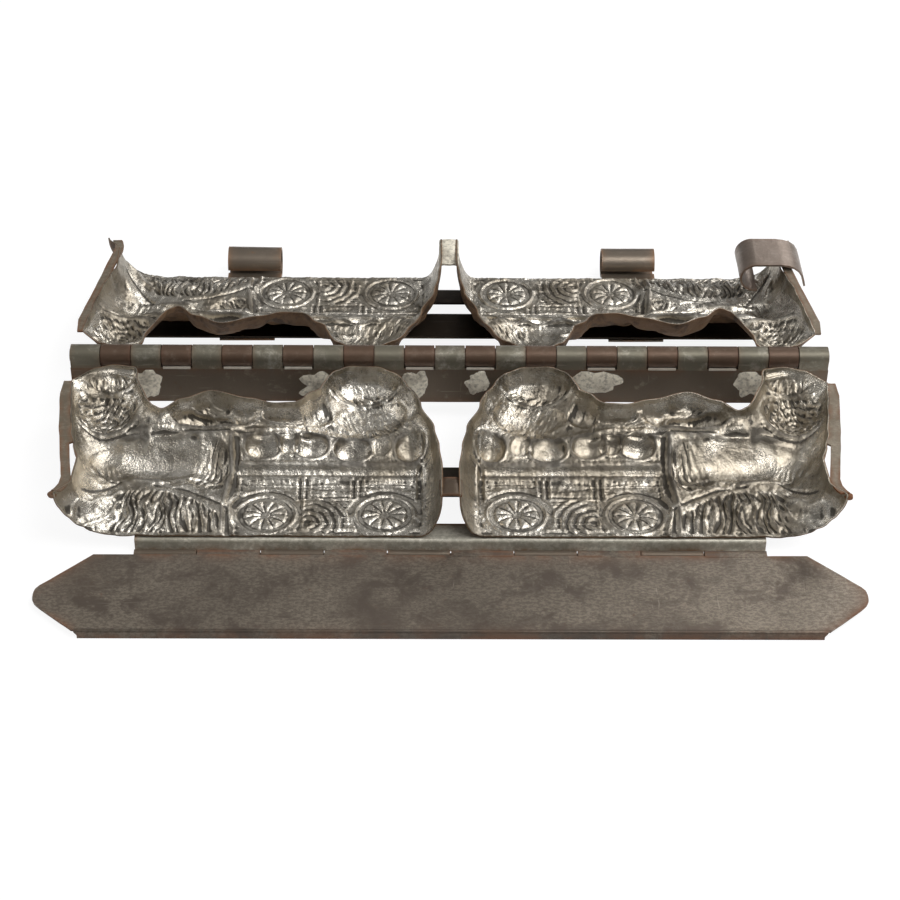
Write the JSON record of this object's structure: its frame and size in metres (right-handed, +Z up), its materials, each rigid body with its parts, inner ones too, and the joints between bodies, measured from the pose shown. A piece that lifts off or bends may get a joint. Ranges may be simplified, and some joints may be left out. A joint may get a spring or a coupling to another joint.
{
  "type": "hinged chocolate mould",
  "caption": "Hinged tin chocolate mould, open flat: mirrored animal-and-egg-cart hollows in each half, a closing flap along the base, spring latches and a loose clip.",
  "frame": {"origin": "centre of the footprint, on the table", "axes": "+X along the hinge, to the right in the picture; +Y away from the closing flap, towards the clips; +Z up"},
  "size_m": [0.2642, 0.2118, 0.0283],
  "materials": {
    "bright_tin": "worn bright tinplate, dark grime in the relief",
    "dark_tin": "dark mottled patina with rust at the edges",
    "rusty_tin": "rusty brown",
    "solder": "dull grey solder",
    "spring_steel": "dark satin steel with rust spots"
  },
  "bodies": {
    "front_half": {"centre_left_solder_patch": "solder", "centre_right_solder_patch": "solder", "flap_hinge_pin": "dark_tin", "front_base_strip": "dark_tin", "front_cross_strip": "dark_tin", "front_hinge_leaf": "dark_tin", "front_left_end_tie": "dark_tin", "front_left_shell": "bright_tin", "front_right_end_tie": "dark_tin", "front_right_shell": "bright_tin", "front_saddle": "solder", "hinge_pin": "rusty_tin", "inner_left_solder_patch": "solder", "inner_right_solder_patch": "solder", "outer_left_solder_patch": "solder", "outer_right_solder_patch": "solder"},
    "rear_half": {"left_spring_latch": "spring_steel", "rear_base_strip": "dark_tin", "rear_cross_strip": "dark_tin", "rear_hinge_leaf": "rusty_tin", "rear_left_end_tie": "dark_tin", "rear_left_shell": "bright_tin", "rear_right_end_tie": "dark_tin", "rear_right_shell": "bright_tin", "rear_saddle": "solder", "right_spring_latch": "spring_steel"},
    "flap": {"closing_flap": "dark_tin"},
    "clip": {"end_clip": "spring_steel"}
  },
  "joints": [
    {"name": "mould_hinge", "type": "hinge", "parent": "front_half", "child": "rear_half", "pos_m": [0, 0.0126, 0.02365], "axis": [1, 0, 0], "range_deg": [0, 180]},
    {"name": "flap_hinge", "type": "hinge", "parent": "front_half", "child": "flap", "pos_m": [0, -0.0674, 0.0016], "axis": [1, 0, 0], "range_deg": [-90, 45]},
    {"name": "end_clip_slide", "type": "slide", "parent": "rear_half", "child": "clip", "axis": [0, 1, 0], "range_m": [0, 0.034]}
  ],
  "couplings": [
    {"joint": "end_clip_slide", "follows": "mould_hinge", "m_per_rad": 0.0108}
  ]
}
